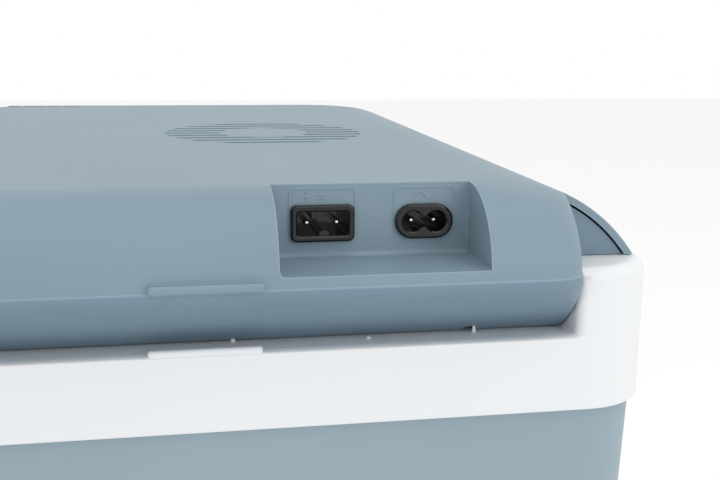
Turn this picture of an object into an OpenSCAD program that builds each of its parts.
// Portable thermoelectric cool box. The cooling unit, fan and both power inlets are in the lid.
// The front faces -Y and the hinges and inlets are at the back, +Y. Z = 0 is the floor.

/* [Overall] */
// Height from the floor to the top of the lid
total_h = 430; // [400:1:470]

/* [Frame] */
// Width of the moulded frame round the top of the box
frame_w = 344; // [340:1:360]
// Depth of the frame, front to back
frame_d = 384; // [380:1:400]
// Height of the frame's band below the ledge that the lid shuts on
band_h = 29; // [24:1:36]
// Height of the side rails and corner posts above the ledge
rail_h = 25.5; // [24:0.5:26]
// Clear width between the two corner posts
post_gap = 272; // [270:1:276]
// Radius of the frame's upright corners
frame_corner_r = 30; // [20:1:36]
// Wall thickness of the frame
frame_wall = 2.4; // [2:0.1:3]

/* [Tub] */
// Width of the opening into the box
mouth_w = 252; // [240:1:256]
// Depth of the opening into the box, front to back
mouth_d = 304; // [290:1:310]
// How much narrower each side of the outer tub is at the bottom
tub_draft = 10; // [4:1:16]
// Wall thickness of the outer tub
tub_wall = 2.2; // [1.8:0.1:3]
// Wall thickness of the inner tub
liner_wall = 2; // [1.6:0.1:2.6]
// Thickness of the insulation under the inner tub's floor
floor_foam = 30; // [20:1:36]

/* [Lid] */
// Height of the lid's flat top above the ledge
lid_h = 56.5; // [56:0.5:60]
// Half of the width of the lid's flat top
flat_half = 108; // [104:1:110]
// Radius of the lid's rounded sides
side_r = 70; // [68:1:72]
// Radius of the rounding along the lid's front and back
end_r = 30; // [28:1:31]
// Height above the ledge of the seam between the two lid mouldings
seam_h = 25.3; // [24:0.1:26]
// Wall thickness of the lid mouldings
lid_wall = 2.2; // [1.8:0.1:2.6]

/* [Fan] */
// Distance of the fan's axis from the middle of the lid
fan_offset = 40.7; // [30:0.1:46]
// Radius of the ring of slots over the fan
grille_r = 50; // [46:1:52]
// Radius of the plain disc in the middle of the slots
grille_hub_r = 22.3; // [18:0.1:26]
// Distance from slot to slot
slot_pitch = 11; // [10:0.5:11]
// Width of one slot
slot_w = 4.4; // [3:0.1:5]

/* [Inlets] */
// Distance from the middle of the box to the recess's near end
recess_near = 23.5; // [20:0.5:28]
// Distance from the middle of the box to the recess's far end
recess_far = 97.1; // [94:0.1:100]
// Height of the recess's floor above the ledge
recess_floor = 29.7; // [28:0.1:31]
// Distance from the middle of the box to the low-voltage inlet
dc_offset = 42.5; // [40:0.1:45]
// Distance from the middle of the box to the mains inlet
ac_offset = 80; // [78:0.1:82]
// Height of both inlets above the ledge
inlet_h = 42.2; // [41:0.1:43]

/* [Handle] */
// Distance from the pivot to the inside of the handle's grip
handle_reach = 212; // [212:1:220]
// Thickness of the handle's arms
arm_t = 9; // [7:0.5:10]
// Angle below level at which the handle hangs at rest
handle_rest = 25; // [20:1:25]

/* [Hidden] */
$fn = 64;
eps = 0.01;

// Heights of the main levels above the floor
ledge_z = total_h - lid_h;
foot_h = 4;
band_low = -band_h;

// Frame
post_in = post_gap / 2;
rail_top = rail_h;
ledge_foot = 13.7;
stop_bar = [37, 3.2, 1.8];

// Outer tub, half sizes at the frame's lower edge
lip = 3;
tub_half_w = frame_w / 2 - lip;
tub_half_d = frame_d / 2 - lip;
tub_corner = frame_corner_r - lip;
tub_top = band_low + 13;
draft_slope = tub_draft / (ledge_z + band_low - foot_h);
tub_floor = foot_h - ledge_z;
function tub_half_at(half, z) = half + draft_slope * (z - band_low);

// Feet, in from the tub's sides, and the flat pad moulded between them
foot_r = 12;
foot_inset = 34;
foot_x = tub_half_at(tub_half_w, tub_floor) - foot_inset;
foot_y = tub_half_at(tub_half_d, tub_floor) - foot_inset;
base_pad = 120;

// Inner tub
liner_top = -12;
liner_draft = 6;
liner_floor_z = foot_h + tub_wall + floor_foam;
liner_corner = 22;
liner_w = mouth_w / 2 + liner_wall;
liner_d = mouth_d / 2 + liner_wall;

// Lid outline
lid_gap = 0.75;
round_y = frame_d / 2 - 15.7;
round_z = lid_h - end_r;
lid_reach = round_y + end_r;
strip_foot = frame_d / 2 - ledge_foot;
strip_slope = atan2(seam_h - lid_gap, lid_reach - strip_foot);
side_z = lid_h - side_r;
housing_half = post_in - 1;
housing_corner = 16;
step_y = frame_d / 2 - 21;
wing_z = rail_top + 0.7;
wing_inset = 1.4;
wing_clear = 0.75;
lid_bar = [40, 2.7, 3.3];

// Lid hinge: steel pins between the rear posts and the lid
hinge_y = frame_d / 2 - 3.5;
hinge_z = 23;
pin_r = 1.6;
pin_clear = 0.06;
pin_out = 12;
pin_in = 8;

// Lid underside
seal_w = 6.4;
seal_x = mouth_w / 2 + 4.8;
seal_y = mouth_d / 2 + 5.2;
plug_half_w = mouth_w / 2 - 5;
plug_half_d = mouth_d / 2 - 6;
plug_depth = 12;
deck_z = 18;
well_half_w = 100;
well_half_d = 125;
bump_half_w = 68;
bump_half_d = 78;
bump_z = -44;

// Cooling unit, from the fan above to the fan below
fan_x = -fan_offset;
motor_r = 17;
motor_low = 7;
motor_high = 34;
clamp_arm = [4.6, 29];
hot_base_t = 4;
hot_fin_h = 12;
hot_half_w = 62;
hot_half_d = 78;
module_size = 40;
module_t = 3.8;
module_y = 48;
module_lead_x = [-8, 8];
cold_base_z = -10;
cold_base_t = 4;
cold_fin_h = 13;
cold_half = 55;
fin_pitch = 5;
fin_t = 1.4;
cold_slot_pitch = 5.5;
cold_slot_w = 2.4;
hot_fan_z = 37;
hot_fan_h = 12;
cold_fan_z = -39;
cold_fan_h = 12;
fan_r = 45;
fan_hub_r = 20;
fan_blades = 7;
shaft_r = 1.5;

// Circuit board
board_x = -60;
board_y = 117;
board_w = 84;
board_d = 54;
board_z = 22;
board_t = 1.6;
board_hole_inset = 4;

// Screws that hold the lid mouldings together
lid_screw_x = 113;
lid_screw_y = 136;
screw_r = 1.6;
screw_head_r = 3.4;
screw_post_r = 5;

// Handle
pivot_z = -2;
pivot_r = 4;
arm_gap = 0.9;
arm_x = frame_w / 2 + arm_gap;
arm_w = 20;
grip_r = 9;
grip_y = handle_reach + grip_r;
grip_half = 62;

// Power inlets
dc_body = [20.6, 10.8];
ac_body = [19, 10.2];
bezel_t = 2.2;
socket_depth = 14;
inlet_depth = 22;

// Colours
blue_grey = "#91A9B6";
dark_blue = "#7A929F";
white = "#EDEFF0";
pale = "#E4E8EA";
foam = "#F2EFD8";
black = "#17181A";
metal = "#C2C5C8";

// ---- shapes used by several sub-parts ----

// A rounded rectangle with true round corners
module rounded_rect(w, d, r) {
    square([w - 2 * r, d], center = true);
    square([w, d - 2 * r], center = true);
    for (x = [-1, 1], y = [-1, 1])
        translate([x * (w / 2 - r), y * (d / 2 - r)]) circle(r);
}

module plate(w, d, r, low, high) {
    translate([0, 0, low]) linear_extrude(high - low) rounded_rect(w, d, r);
}

// A solid that tapers between two rounded rectangles, given by half sizes
module taper(top_w, top_d, bottom_w, bottom_d, r, low, high) {
    hull() {
        translate([0, 0, high - 0.1]) linear_extrude(0.1)
            rounded_rect(2 * top_w, 2 * top_d, r, $fn = 32);
        translate([0, 0, low]) linear_extrude(0.1)
            rounded_rect(2 * bottom_w, 2 * bottom_d, r, $fn = 32);
    }
}

// An outline in Y and Z, carried along X from -half to half
module along_x(half) {
    rotate([90, 0, 90]) translate([0, 0, -half]) linear_extrude(2 * half) children();
}

// An outline in X and Z, carried along Y from -half to half
module along_y(half) {
    rotate([90, 0, 0]) translate([0, 0, -half]) linear_extrude(2 * half) children();
}

module at_ledge() {
    translate([0, 0, ledge_z]) children();
}

module box(low, high) {
    translate(low) cube(high - low);
}

module mirrored_x() {
    children();
    mirror([1, 0, 0]) children();
}

// A round bar along X from one X to another
module bar_x(x0, x1, r) {
    translate([x0, 0, 0]) rotate([0, 90, 0]) cylinder(h = x1 - x0, r = r);
}

// A lead as short straight runs with round joints
module lead(route, r) {
    for (i = [0 : len(route) - 2])
        hull() {
            translate(route[i]) sphere(r, $fn = 8);
            translate(route[i + 1]) sphere(r, $fn = 8);
        }
}

// ---- the box ----

module outer_tub() {
    floor_z = tub_floor;
    color(blue_grey) at_ledge() {
        difference() {
            union() {
                taper(tub_half_at(tub_half_w, tub_top), tub_half_at(tub_half_d, tub_top),
                    tub_half_at(tub_half_w, floor_z), tub_half_at(tub_half_d, floor_z),
                    tub_corner, floor_z, tub_top);
                plate(base_pad, base_pad, foot_r, -ledge_z, floor_z + 1);
            }
            taper(tub_half_at(tub_half_w, tub_top) - tub_wall + 0.05,
                tub_half_at(tub_half_d, tub_top) - tub_wall + 0.05,
                tub_half_at(tub_half_w, floor_z) - tub_wall,
                tub_half_at(tub_half_d, floor_z) - tub_wall,
                tub_corner - tub_wall, floor_z + tub_wall, tub_top + 1);
            for (x = [-1, 1], y = [-1, 1])
                translate([x * foot_x, y * foot_y, floor_z - 1]) cylinder(h = 2.2, r = foot_r);
        }
    }
}

module foot_pads() {
    color(black)
        for (x = [-1, 1], y = [-1, 1])
            translate([x * foot_x, y * foot_y, 0]) {
                cylinder(h = 1.2, r1 = foot_r - 1.2, r2 = foot_r, $fn = 48);
                translate([0, 0, 1.2]) cylinder(h = foot_h, r = foot_r);
            }
}

module inner_tub() {
    floor_z = liner_floor_z - ledge_z;
    color(pale) at_ledge()
        difference() {
            union() {
                taper(liner_w, liner_d, liner_w - liner_draft, liner_d - liner_draft,
                    liner_corner, floor_z, liner_top);
                plate(2 * liner_w + 9, 2 * liner_d + 9, liner_corner + 4, liner_top - 2, liner_top);
            }
            taper(liner_w - liner_wall, liner_d - liner_wall,
                liner_w - liner_draft - liner_wall, liner_d - liner_draft - liner_wall,
                liner_corner - liner_wall, floor_z + liner_wall, liner_top + 1);
        }
}

module tub_insulation() {
    low = foot_h + tub_wall + 0.05 - ledge_z;
    high = liner_top - 2.1;
    clear = tub_wall + 0.3;
    color(foam) at_ledge()
        difference() {
            taper(tub_half_at(tub_half_w, high) - clear, tub_half_at(tub_half_d, high) - clear,
                tub_half_at(tub_half_w, low) - clear, tub_half_at(tub_half_d, low) - clear,
                tub_corner - clear, low, high);
            taper(liner_w + 0.3, liner_d + 0.3, liner_w - liner_draft + 0.2,
                liner_d - liner_draft + 0.2, liner_corner, liner_floor_z - 0.05 - ledge_z, high + 1);
        }
}

module top_frame() {
    color(white) at_ledge() {
        difference() {
            plate(frame_w, frame_d, frame_corner_r, band_low, rail_top);
            // the lid shuts down between the posts
            box([-post_in, -frame_d, 0], [post_in, frame_d, rail_top + 1]);
            plate(mouth_w, mouth_d, liner_corner - liner_wall, band_low - 1, 1);
            frame_hollow();
            for (side = [-1, 1]) {
                translate([side * (post_in + pin_out / 2 - 0.5), hinge_y, hinge_z])
                    bar_x(-pin_out / 2 - 0.5, pin_out / 2 + 0.5, pin_r);
                translate([0, 0, pivot_z])
                    bar_x(side > 0 ? frame_w / 2 - 12 : -frame_w / 2 - 1,
                        side > 0 ? frame_w / 2 + 1 : -frame_w / 2 + 12, pivot_r);
            }
        }
        // short bar on the rear edge of the ledge, which the lid's bar meets when it is open
        translate([0, frame_d / 2 - stop_bar[1] / 2 + 0.4, 0]) stadium_bar(stop_bar);
    }
}

// A bar with round ends that stands on a face
module stadium_bar(size) {
    r = size[1] / 2;
    translate([0, 0, -0.5]) linear_extrude(size[2] + 0.5) {
        square([size[0] - 2 * r, size[1]], center = true);
        for (x = [-1, 1]) translate([x * (size[0] / 2 - r), 0]) circle(r);
    }
}

// The frame is a hollow moulding, open below, with solid bosses for the pins
module frame_hollow() {
    wall = frame_wall;
    difference() {
        union() {
            plate(frame_w - 2 * wall, frame_d - 2 * wall, frame_corner_r - wall,
                band_low - 1, -wall);
            intersection() {
                plate(frame_w - 2 * wall, frame_d - 2 * wall, frame_corner_r - wall,
                    band_low - 1, rail_top - wall);
                mirrored_x() box([post_in + wall, -frame_d, band_low - 1],
                    [frame_w, frame_d, rail_top]);
            }
        }
        plate(mouth_w + 2 * wall, mouth_d + 2 * wall, liner_corner + wall, liner_top, 1);
        mirrored_x() {
            translate([0, hinge_y, hinge_z]) bar_x(post_in, post_in + pin_out + 2, pin_r + 1.9);
            translate([0, 0, pivot_z]) bar_x(frame_w / 2 - 13.5, frame_w / 2, pivot_r + 3);
        }
    }
}

module hinge_pins() {
    color(metal) at_ledge()
        mirrored_x()
            translate([0, hinge_y, hinge_z])
                bar_x(post_in - 1 - pin_in + 0.5, post_in + pin_out - 0.5, pin_r);
}

module handle_pivots() {
    color(dark_blue) at_ledge()
        mirrored_x()
            translate([0, 0, pivot_z]) {
                bar_x(frame_w / 2 - 11.5, arm_x + arm_t + 0.4, pivot_r);
                bar_x(arm_x + arm_t + 0.4, arm_x + arm_t + 3, pivot_r + 5);
            }
}

// ---- the carrying handle, drawn reaching straight forward and then hung at its rest angle ----

module handle_place() {
    at_ledge() translate([0, 0, pivot_z]) rotate([handle_rest, 0, 0]) children();
}

module handle_bail() {
    bend = 24;
    color(blue_grey) handle_place()
        difference() {
            union() {
                mirrored_x() {
                    bar_x(arm_x, arm_x + arm_t, 15);
                    box([arm_x, -grip_y + bend, -arm_w / 2], [arm_x + arm_t, 0, arm_w / 2]);
                    // quarter bend from the arm into the grip
                    translate([arm_x + arm_t / 2 - bend, -grip_y + bend, 0])
                        rotate([0, 0, -90]) rotate_extrude(angle = 90)
                            translate([bend, 0]) square([arm_t, arm_w], center = true);
                }
                box([-(arm_x + arm_t / 2 - bend), -grip_y - arm_t / 2, -arm_w / 2],
                    [arm_x + arm_t / 2 - bend, -grip_y + arm_t / 2, arm_w / 2]);
            }
            mirrored_x() bar_x(arm_x - 1, arm_x + arm_t + 1, pivot_r + pin_clear);
        }
}

module handle_grip() {
    color(dark_blue) handle_place()
        translate([0, -grip_y, 0])
            difference() {
                intersection() {
                    bar_x(-grip_half, grip_half, 13.5);
                    box([-grip_half, -grip_r + 0.4, -13], [grip_half, grip_r, 13]);
                }
                box([-grip_half - 1, -arm_t / 2, -arm_w / 2], [grip_half + 1, arm_t / 2, arm_w / 2]);
            }
}

// ---- the lid ----

// Across the lid: a flat top with a large rounding at each side
module side_outline(inset, low) {
    intersection() {
        union() {
            translate([-flat_half, low]) square([2 * flat_half, lid_h - inset - low]);
            for (x = [-1, 1]) translate([x * flat_half, side_z]) circle(side_r - inset, $fn = 128);
        }
        translate([-frame_w, low]) square([2 * frame_w, lid_h]);
    }
}

// Front to back through the middle: flat top, rounded ends, and a foot that slopes in to the ledge
module end_outline(inset) {
    foot = strip_foot - inset * tan(strip_slope / 2);
    low = lid_gap + inset;
    knee = seam_h + inset * tan((90 - strip_slope) / 2);
    reach = lid_reach - inset;
    polygon([[-foot, low], [foot, low], [reach, knee], [reach, round_z + eps],
        [-reach, round_z + eps], [-reach, knee]]);
    translate([-round_y, round_z]) square([2 * round_y, end_r - inset]);
    intersection() {
        for (y = [-1, 1]) translate([y * round_y, round_z]) circle(end_r - inset);
        translate([-reach, round_z]) square([2 * reach, end_r]);
    }
}

// The middle of the lid, as deep as the ends reach and as wide as the gap between the posts
module housing_form(inset) {
    intersection() {
        along_x(housing_half - inset) end_outline(inset);
        plate(2 * (housing_half - inset), 2 * (lid_reach - inset), housing_corner - inset, -1, lid_h);
        along_y(lid_reach) side_outline(inset, -1);
    }
}

module lid_cover() {
    color(blue_grey) at_ledge() {
        difference() {
            union() {
                difference() {
                    union() {
                        intersection() {
                            housing_form(0);
                            box([-frame_w, -frame_d, seam_h], [frame_w, frame_d, lid_h]);
                        }
                        along_y(step_y) side_outline(0, wing_z);
                    }
                    // hollow inside, left open at the ends of the two wings
                    housing_form(lid_wall);
                    box([-housing_half + lid_wall, -step_y, 0], [housing_half - lid_wall, step_y, 30]);
                    along_y(step_y - lid_wall) side_outline(lid_wall, 0);
                    intersection() {
                        along_y(step_y + 1) side_outline(lid_wall, 0);
                        mirrored_x() box([housing_half, -frame_d, 0], [frame_w, frame_d, lid_h]);
                    }
                }
                lid_bosses();
                fan_ring();
                recess_walls();
                // short bar on the seam, which meets the frame's bar when the lid is open
                box([-lid_bar[0] / 2, lid_reach - 1, seam_h],
                    [lid_bar[0] / 2, lid_reach + lid_bar[1], seam_h + lid_bar[2]]);
            }
            recess_space();
            translate([0, 0, lid_h - lid_wall - 1]) grille_slots(lid_wall + 2);
            translate([-dc_offset, round_y - 4, inlet_h]) rotate([-90, 0, 0])
                linear_extrude(8) rounded_rect(dc_body[0], dc_body[1], 1.5);
            translate([-ac_offset, round_y - 4, inlet_h]) rotate([-90, 0, 0])
                linear_extrude(8) stadium(ac_body[0], ac_body[1]);
        }
    }
}

module stadium(w, h) {
    square([w - h, h], center = true);
    for (x = [-1, 1]) translate([x * (w - h) / 2, 0]) circle(h / 2);
}

module recess_space() {
    box([-recess_far, round_y, recess_floor], [-recess_near, lid_reach + 5, lid_h + 5]);
}

// Floor, ends and back of the pocket that the two inlets sit in
module recess_walls() {
    intersection() {
        box([-recess_far - lid_wall, round_y - lid_wall, recess_floor - lid_wall],
            [-recess_near + lid_wall, lid_reach + 5, lid_h]);
        housing_form(0);
    }
}

module lid_screw_places() {
    for (x = [-1, 1], y = [-1, 1]) translate([x * lid_screw_x, y * lid_screw_y, 0]) children();
    for (y = [-1, 1]) translate([0, y * lid_screw_y, 0]) children();
}

module lid_bosses() {
    lid_screw_places() difference() {
        translate([0, 0, lid_gap + lid_wall]) cylinder(h = lid_h - 4, r = 4);
        translate([0, 0, 2]) cylinder(h = 22, r = screw_r - 0.2);
    }
}

module fan_ring() {
    translate([fan_x, 0, hot_fan_z]) difference() {
        cylinder(h = lid_h - 1 - hot_fan_z, r = grille_r + 1.6);
        translate([0, 0, -1]) cylinder(h = lid_h, r = grille_r);
    }
}

// Straight slots in a ring round a plain disc
module grille_slots(h) {
    count = floor((grille_r - slot_w / 2) / slot_pitch);
    translate([fan_x, 0, 0]) linear_extrude(h) difference() {
        intersection() {
            circle(grille_r);
            for (i = [-count : count])
                translate([-grille_r, i * slot_pitch - slot_w / 2]) square([2 * grille_r, slot_w]);
        }
        circle(grille_hub_r);
    }
}

module lid_tray() {
    color(dark_blue) at_ledge()
        difference() {
            union() {
                intersection() {
                    difference() {
                        housing_form(0);
                        housing_form(lid_wall);
                    }
                    box([-frame_w, -frame_d, -1], [frame_w, frame_d, seam_h - 0.05]);
                }
                wing_walls();
                mirrored_x() box([housing_half - pin_in - 1, hinge_y - 5, hinge_z - 5],
                    [housing_half, hinge_y + 1.8, seam_h - 0.05]);
                // posts that carry the circuit board
                board_holes() cylinder(h = board_z - lid_gap, r = 3);
            }
            plate(2 * well_half_w, 2 * well_half_d, 12, -1, 1 + lid_gap + lid_wall);
            seal_ring(0.2, lid_gap - 1, lid_gap + 1.4);
            mirrored_x() translate([0, hinge_y, hinge_z])
                bar_x(housing_half - pin_in, housing_half + 1, pin_r + pin_clear);
            lid_screw_places() cylinder(h = 8, r = screw_r + 0.2, center = true);
            board_holes() translate([0, 0, board_z - lid_gap - 9]) cylinder(h = 10, r = 1.1);
            front_vents();
        }
}

// The tray's rails: floors over the frame's side rails, with a wall that closes each end
module wing_walls() {
    wall = lid_wall;
    long = step_y - wing_inset;
    between = step_y - wall - 0.1;
    start = housing_half + 0.1;
    mirrored_x() {
        intersection() {
            along_y(long) side_outline(wall + wing_clear, wing_z);
            union() {
                box([start, -long, wing_z], [frame_w, long, wing_z + wall]);
                for (y = [-1, 1])
                    translate([0, y * (long - wall / 2), 0])
                        box([start, -wall / 2, 0], [frame_w, wall / 2, lid_h]);
            }
        }
        box([housing_half - wall, -between, seam_h - 6], [housing_half, between, wing_z + wall]);
        box([housing_half - wall, -between, wing_z], [start + 1, between, wing_z + wall]);
    }
}

// Slots under the front of the lid, where warm air leaves
module front_vents() {
    for (i = [-8 : 8])
        translate([i * 13, 0, 0])
            box([-3.5, -lid_reach, seam_h - 6], [3.5, -lid_reach + 16, seam_h - 3]);
}

module board_holes() {
    for (x = [-1, 1], y = [-1, 1])
        translate([board_x + x * (board_w / 2 - board_hole_inset),
            board_y + y * (board_d / 2 - board_hole_inset), lid_gap]) children();
}

module lid_insulation() {
    color(foam) at_ledge()
        difference() {
            union() {
                plate(2 * (housing_half - lid_wall - 1), 2 * 158, 12, lid_gap + lid_wall, deck_z);
                plate(2 * (well_half_w - 0.3), 2 * (well_half_d - 0.3), 12, 0, 5);
                plate(2 * (plug_half_w - lid_wall - 0.3), 2 * (plug_half_d - lid_wall - 0.3), 14,
                    -plug_depth + lid_wall, lid_gap - 0.2);
            }
            lid_screw_places() cylinder(h = 60, r = screw_post_r + 0.4, center = true);
            board_holes() cylinder(h = 40, r = 3.3);
            translate([fan_x, 0, -20]) {
                cylinder(h = 60, r = 5);
                translate([0, 0, 20 + motor_low - 0.5]) cylinder(h = 40, r = motor_r + 0.5);
            }
            // pocket for the cooling block and the module
            translate([fan_x, module_y, 0]) box([-22, -22, -20], [22, 22, 30]);
            translate([fan_x, 0, 0]) box([-cold_half - 1, -cold_half - 20, -30],
                [cold_half + 1, cold_half + 20, cold_base_z + cold_base_t]);
            sink_screw_places() cylinder(h = 60, r = 2.4, center = true);
            // channel for the module's leads
            translate([fan_x, module_y, 0]) box([-11, 20, deck_z - 3.6], [11, 37, deck_z + 1]);
        }
}

module lid_liner() {
    wall = 2;
    color(pale) at_ledge()
        difference() {
            union() {
                plate(2 * plug_half_w, 2 * plug_half_d, 16, -plug_depth, lid_gap);
                translate([fan_x, 0, 0])
                    plate(2 * bump_half_w, 2 * bump_half_d, 10, bump_z, -plug_depth);
            }
            difference() {
                plate(2 * (plug_half_w - wall), 2 * (plug_half_d - wall), 14,
                    -plug_depth + wall, lid_gap + 1);
                lid_screw_places() cylinder(h = 60, r = screw_post_r, center = true);
            }
            lid_screw_places() cylinder(h = 60, r = screw_r + 0.2, center = true);
            lid_screw_places() translate([0, 0, -plug_depth - 1])
                cylinder(h = 3.2, r = screw_head_r + 0.3);
            translate([fan_x, 0, 0]) {
                plate(2 * (bump_half_w - wall), 2 * (bump_half_d - wall), 8,
                    bump_z + wall + 1, -plug_depth + wall + 1);
                plate(2 * (bump_half_w - 6), 2 * (bump_half_d - 6), 6, bump_z - 1, bump_z + 5);
                grille_screw_places() cylinder(h = 8, r = 1.2);
            }
        }
}

// The ring of soft seal that closes on the frame's ledge
module seal_ring(clear, low, high) {
    difference() {
        plate(2 * seal_x + seal_w + 2 * clear, 2 * seal_y + seal_w + 2 * clear, 14, low, high);
        plate(2 * seal_x - seal_w - 2 * clear, 2 * seal_y - seal_w - 2 * clear, 10, low - 1, high + 1);
    }
}

module lid_seal() {
    color("#B9BEC1") at_ledge() seal_ring(0, 0.3, lid_gap + 1.4);
}

module screw(r, head_r, length, head_h) {
    cylinder(h = length, r = r, $fn = 24);
    difference() {
        translate([0, 0, -head_h]) cylinder(h = head_h, r = head_r, $fn = 32);
        for (turn = [0, 90]) rotate([0, 0, turn])
            box([-head_r * 0.6, -0.4, -head_h - 1], [head_r * 0.6, 0.4, -head_h + 1]);
    }
}

module lid_screws() {
    color(metal) at_ledge()
        lid_screw_places() translate([0, 0, -plug_depth + 2.2]) screw(screw_r - 0.25, screw_head_r, 26, 2);
}

// ---- the cooling unit ----

module hot_sink() {
    count = floor(hot_half_w / fin_pitch);
    color(metal) at_ledge() translate([fan_x, 0, deck_z])
        difference() {
            union() {
                box([-hot_half_w, -hot_half_d, 0], [hot_half_w, hot_half_d, hot_base_t]);
                for (i = [-count : count])
                    translate([i * fin_pitch, 0, 0])
                        box([-fin_t / 2, -hot_half_d, 0], [fin_t / 2, hot_half_d, hot_base_t + hot_fin_h]);
            }
            translate([0, 0, -1]) cylinder(h = 30, r = motor_r + 1);
            // room for the motor's clamp and for the screws' heads
            for (turn = [0, 90]) rotate([0, 0, turn])
                box([-clamp_arm[0] - 0.3, -clamp_arm[1] - 0.3, motor_high - 5.3 - deck_z],
                    [clamp_arm[0] + 0.3, clamp_arm[1] + 0.3, hot_base_t + hot_fin_h + 1]);
            translate([-fan_x, 0, hot_base_t]) sink_screw_places() cylinder(h = 20, r = 3.1);
            sink_screw_holes(deck_z);
        }
}

module cold_sink() {
    count = floor((cold_half - 1) / fin_pitch);
    color(metal) at_ledge() translate([fan_x, 0, cold_base_z])
        difference() {
            union() {
                box([-cold_half, -cold_half - 18, 0], [cold_half, cold_half + 18, cold_base_t]);
                for (i = [-count : count])
                    translate([i * fin_pitch, 0, 0])
                        box([-fin_t / 2, -cold_half - 18, -cold_fin_h], [fin_t / 2, cold_half + 18, 0]);
            }
            translate([0, 0, -30]) cylinder(h = 40, r = 6);
            sink_screw_holes(cold_base_z);
        }
}

module sink_screw_places() {
    for (x = [-1, 1], y = [-1, 1])
        translate([fan_x + x * 27.5, module_y + y * 17.5, 0]) children();
}

// The same four holes, for a part that is drawn at the fan's axis and at its own height
module sink_screw_holes(z) {
    translate([-fan_x, 0, -z])
        sink_screw_places() cylinder(h = 80, r = 1.8, center = true);
}

module sink_screws() {
    color("#8C8F92") at_ledge()
        sink_screw_places() translate([0, 0, deck_z + hot_base_t])
            mirror([0, 0, 1]) screw(1.5, 2.6, deck_z + hot_base_t - cold_base_z - 0.5, 1.8);
}

module thermo_module() {
    half = module_size / 2;
    low = deck_z - module_t;
    color("#F4F4F0") at_ledge() translate([fan_x, module_y, 0]) {
        box([-half, -half, low], [half, half, low + 0.7]);
        box([-half, -half, deck_z - 0.7], [half, half, deck_z]);
        box([-half + 1, -half + 1, low + 0.7], [half - 1, half - 1, deck_z - 0.7]);
    }
}

module module_seal() {
    half = module_size / 2 + 0.1;
    color("#3A3D40") at_ledge() translate([fan_x, module_y, 0])
        difference() {
            box([-21.8, -21.8, deck_z - module_t], [21.8, 21.8, deck_z - 0.2]);
            box([-half, -half, 0], [half, half, 30]);
            for (x = module_lead_x) box([x - 1.3, half - 1, 0], [x + 1.3, half + 3, 30]);
        }
}

module cold_block() {
    half = 19;
    color(metal) at_ledge() translate([fan_x, module_y, 0])
        box([-half, -half, cold_base_z + cold_base_t], [half, half, deck_z - module_t]);
}

module grille_screw_places() {
    for (x = [-1, 1], y = [-1, 1])
        translate([x * (bump_half_w - 4), y * (bump_half_d - 18), bump_z - 0.5]) children();
}

module cold_grille() {
    half_w = bump_half_w - 6.3;
    half_d = bump_half_d - 6.3;
    rows = 13;
    color(pale) at_ledge() translate([fan_x, 0, bump_z])
        difference() {
            union() {
                plate(2 * half_w, 2 * half_d, 5.5, 0, 2);
                // a rim that laps the opening from inside and takes the four screws
                difference() {
                    plate(2 * half_w + 8.2, 2 * half_d + 8.2, 8, 3.1, 4.6);
                    plate(2 * half_w - 8, 2 * half_d - 8, 4, 2, 6);
                }
                difference() {
                    plate(2 * half_w, 2 * half_d, 5.5, 0, 4);
                    plate(2 * half_w - 4, 2 * half_d - 4, 3.5, -1, 5);
                }
            }
            for (i = [-rows : rows])
                translate([0, i * cold_slot_pitch, -1]) linear_extrude(4)
                    difference() {
                        square([2 * half_w - 14, cold_slot_w], center = true);
                        circle(14);
                    }
            translate([0, 0, -bump_z]) grille_screw_places() cylinder(h = 8, r = 1);
        }
}

module grille_screws() {
    color(metal) at_ledge() translate([fan_x, 0, 0])
        grille_screw_places() translate([0, 0, 0.5]) screw(1, 2.2, 4, 1.2);
}

module fan_motor() {
    color("#9A9DA0") at_ledge() translate([fan_x, 0, 0])
        difference() {
            union() {
                translate([0, 0, motor_low]) cylinder(h = motor_high - motor_low - 5, r = motor_r);
                translate([0, 0, motor_high - 5]) cylinder(h = 5, r = 6);
            }
            translate([0, 0, -1]) cylinder(h = 60, r = shaft_r + 0.08);
        }
}

module motor_clamp() {
    color(black) at_ledge() translate([fan_x, 0, 0])
        difference() {
            union() {
                translate([0, 0, motor_high - 5]) cylinder(h = 2, r = motor_r + 0.5);
                for (turn = [0, 90]) rotate([0, 0, turn])
                    box([-clamp_arm[0], -clamp_arm[1], motor_high - 5],
                        [clamp_arm[0], clamp_arm[1], motor_high - 3]);
            }
            translate([0, 0, motor_high - 8]) cylinder(h = 20, r = 6.05);
        }
}

module motor_shaft() {
    color(metal) at_ledge() translate([fan_x, 0, cold_fan_z + 2])
        cylinder(h = hot_fan_z + hot_fan_h - cold_fan_z - 4, r = shaft_r);
}

// A fan with a cupped hub and flat pitched blades
module fan(h) {
    difference() {
        cylinder(h = h, r = fan_hub_r);
        translate([0, 0, -1]) cylinder(h = h - 1, r = fan_hub_r - 1.8);
    }
    difference() {
        cylinder(h = h, r = 4);
        translate([0, 0, -1]) cylinder(h = h + 2, r = shaft_r);
    }
    intersection() {
        difference() {
            cylinder(h = h, r = fan_r);
            translate([0, 0, -1]) cylinder(h = h + 2, r = fan_hub_r - 1);
        }
        for (i = [0 : fan_blades - 1])
            rotate([0, 0, i * 360 / fan_blades]) translate([0, 0, h / 2]) rotate([28, 0, 0])
                box([fan_hub_r - 2, -16, -0.8], [fan_r + 2, 16, 0.8]);
    }
}

module hot_fan() {
    color("#2B2D30") at_ledge() translate([fan_x, 0, hot_fan_z]) fan(hot_fan_h);
}

module cold_fan() {
    color("#2B2D30") at_ledge() translate([fan_x, 0, cold_fan_z + cold_fan_h])
        mirror([0, 0, 1]) fan(cold_fan_h);
}

// ---- the power supply ----

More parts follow.
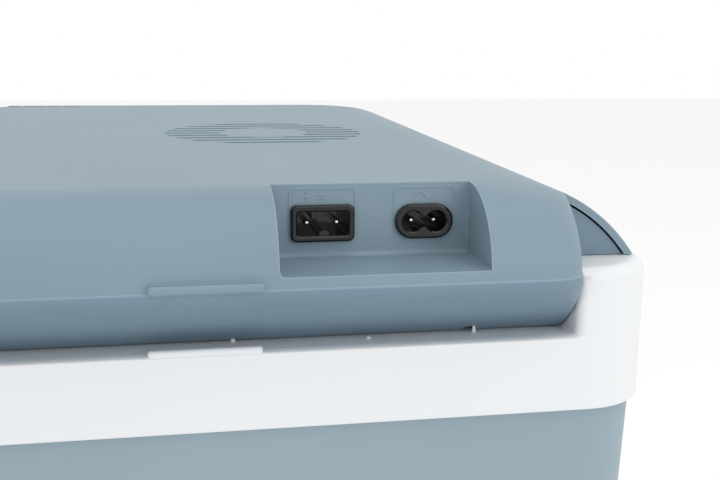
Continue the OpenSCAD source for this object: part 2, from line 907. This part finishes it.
module power_board() {
    color("#2F6B3E") at_ledge()
        difference() {
            box([board_x - board_w / 2, board_y - board_d / 2, board_z],
                [board_x + board_w / 2, board_y + board_d / 2, board_z + board_t]);
            board_holes() cylinder(h = 60, r = 1.7);
        }
}

module board_screws() {
    color(metal) at_ledge()
        board_holes() translate([0, 0, board_z + board_t - lid_gap])
            mirror([0, 0, 1]) screw(1, 2.4, 9, 1.8);
}

module on_board(x, y) {
    at_ledge() translate([board_x + x, board_y + y, board_z + board_t]) children();
}

module transformer() {
    on_board(8, -2) {
        color("#3B3B3D") {
            box([-14, -11, 0], [14, 11, 5]);
            box([-14, -11, 17], [14, 11, 22]);
            for (x = [-14, 11]) box([x, -11, 5], [x + 3, 11, 17]);
        }
        color("#E6C440") translate([0, 0, 5]) linear_extrude(12) rounded_rect(21, 20, 3);
    }
}

module board_capacitors() {
    color("#2A3550") {
        on_board(-16, 8) cylinder(h = 22, r = 8);
        on_board(30, -10) cylinder(h = 16, r = 5);
        on_board(30, 4) cylinder(h = 16, r = 5);
    }
}

module diode_sink() {
    color(metal) on_board(-24, -14) {
        box([-14, -1, 0], [14, 1, 16]);
        for (x = [-13 : 6.5 : 13]) box([x - 0.7, -6, 0], [x + 0.7, 6, 16]);
    }
}

// ---- the two power inlets ----

// Draws in the plane of the recess's back wall, with the third axis pointing out of the box
module at_inlet(offset) {
    at_ledge() translate([-offset, round_y, inlet_h]) rotate([-90, 180, 0]) children();
}

module dc_inlet() {
    color(black) at_inlet(dc_offset)
        difference() {
            union() {
                linear_extrude(bezel_t) rounded_rect(23.2, 13.4, 2.2);
                translate([0, 0, -inlet_depth]) linear_extrude(inlet_depth)
                    rounded_rect(dc_body[0] - 0.2, dc_body[1] - 0.2, 1.4);
            }
            translate([0, 0, bezel_t - socket_depth]) linear_extrude(socket_depth + 1)
                difference() {
                    rounded_rect(18.8, 9, 1);
                    // the keys that let the plug in only one way round
                    translate([0.5, -4.6]) circle(1.9);
                    translate([-3.4, 4.2]) square([1.8, 4.4], center = true);
                }
            dc_pin_places() cylinder(h = 80, r = 1.1, center = true);
        }
}

module dc_pin_places() {
    for (x = [-1, 1]) translate([x * 5.5, 0, 0]) children();
}

module inlet_pin(r) {
    translate([0, 0, -inlet_depth - 4]) cylinder(h = inlet_depth + 4 - 3, r = r);
    translate([0, 0, -3]) sphere(r);
}

module dc_pins() {
    color(metal) at_inlet(dc_offset) dc_pin_places() inlet_pin(1.1);
}

module mains_inlet() {
    color(black) at_inlet(ac_offset)
        difference() {
            union() {
                linear_extrude(bezel_t) stadium(21.6, 12.8);
                translate([0, 0, -inlet_depth]) linear_extrude(inlet_depth)
                    stadium(ac_body[0] - 0.2, ac_body[1] - 0.2);
            }
            translate([0, 0, bezel_t - socket_depth]) linear_extrude(socket_depth + 1) {
                for (x = [-1, 1]) translate([x * 4.3, 0]) circle(3.9);
                square([8.6, 4], center = true);
            }
            mains_pin_places() cylinder(h = 80, r = 1.2, center = true);
        }
}

module mains_pin_places() {
    for (x = [-1, 1]) translate([x * 4.3, 0, 0]) children();
}

module mains_pins() {
    color(metal) at_inlet(ac_offset) mains_pin_places() inlet_pin(1.2);
}

// ---- the leads inside the lid ----

// End of an inlet's pin inside the lid
function pin_end(offset, x) = [-offset - x, round_y - inlet_depth - 5.2, inlet_h];

module mains_leads() {
    color("#6B3F2A") at_ledge()
        for (x = [-4.3, 4.3])
            lead([pin_end(ac_offset, x), [-92 + x, 145, 38], [-94 + x, 139, 29],
                [-94 + x, 136, board_z + board_t + 1.2]], 1.1);
}

module dc_leads() {
    color("#B5352B") at_ledge()
        for (x = [-5.5, 5.5])
            lead([pin_end(dc_offset, x), [-34 - x, 146, 36], [-28 - x, 139, 29],
                [-28 - x, 136, board_z + board_t + 1.2]], 1.1);
}

module module_leads() {
    color("#B5352B") at_ledge()
        for (x = module_lead_x)
            lead([[fan_x + x, module_y + 21.2, deck_z - 1.8], [fan_x + x, module_y + 32.5, deck_z - 1.8],
                [fan_x + x, module_y + 35.5, board_z + 3.6],
                [fan_x + x, module_y + 45, board_z + board_t + 1.2]], 1.1);
}

module motor_leads() {
    color(black) at_ledge()
        for (x = [-2.5, 2.5])
            lead([[fan_x + x, motor_r + 0.8, 26], [fan_x + x, 84, 26],
                [fan_x + x, 94, board_z + board_t + 1]], 0.9);
}

outer_tub();
tub_insulation();
inner_tub();
top_frame();
foot_pads();
hinge_pins();
handle_pivots();
handle_bail();
handle_grip();
lid_cover();
lid_tray();
lid_insulation();
lid_liner();
lid_seal();
lid_screws();
hot_sink();
thermo_module();
module_seal();
cold_block();
cold_sink();
sink_screws();
cold_grille();
grille_screws();
fan_motor();
motor_clamp();
motor_shaft();
hot_fan();
cold_fan();
power_board();
board_screws();
transformer();
board_capacitors();
diode_sink();
mains_inlet();
mains_pins();
dc_inlet();
dc_pins();
mains_leads();
dc_leads();
module_leads();
motor_leads();
